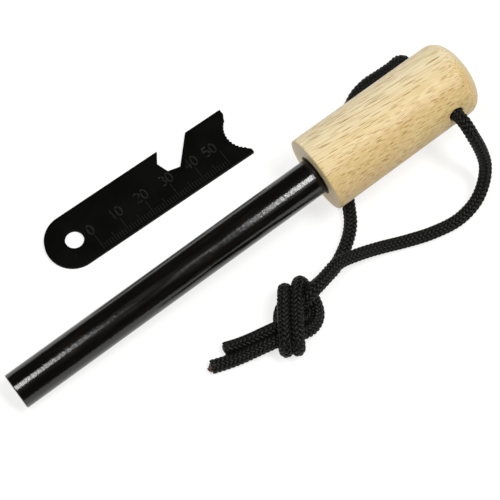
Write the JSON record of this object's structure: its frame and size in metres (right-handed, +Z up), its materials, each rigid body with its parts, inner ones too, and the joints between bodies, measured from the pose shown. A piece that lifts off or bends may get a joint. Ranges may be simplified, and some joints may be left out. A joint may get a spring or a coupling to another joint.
{
  "type": "ferro rod fire starter",
  "caption": "Lacquered ferrocerium rod glued into a turned beech handle, with a knotted braided lanyard and a loose flat steel striker that has a ruler, an opener notch and a toothed end.",
  "frame": {"origin": "on the table, under the middle of the box of the rod, handle and striker", "axes": "+X along the rod from its tip to the handle, +Y towards the striker, +Z up from the table"},
  "size_m": [0.1764, 0.0847, 0.0343],
  "materials": {
    "rod_lacquer": "black protective lacquer over a ferrocerium bar, semi-gloss",
    "epoxy": "dark brown set epoxy, glossy",
    "beech": "turned beech under clear satin lacquer, fine brown flecks along the grain",
    "striker_steel": "blackened carbon steel, matte, with engraved ruler ticks and plain numbers",
    "braid": "black braided polyester cord with heat-sealed ends"
  },
  "bodies": {
    "rod_and_handle": {"ferro_rod": "rod_lacquer", "rod_adhesive": "epoxy", "handle": "beech", "lanyard_in_handle": "braid", "lanyard_near_leg": "braid", "lanyard_far_leg": "braid", "lanyard_near_knot": "braid", "lanyard_far_knot": "braid"},
    "striker": {"striker": "striker_steel"}
  },
  "joints": [
    {"name": "striker_stroke", "type": "slide", "parent": "rod_and_handle", "child": "striker", "axis": [-1, 0, 0], "range_m": [0, 0.109]}
  ]
}
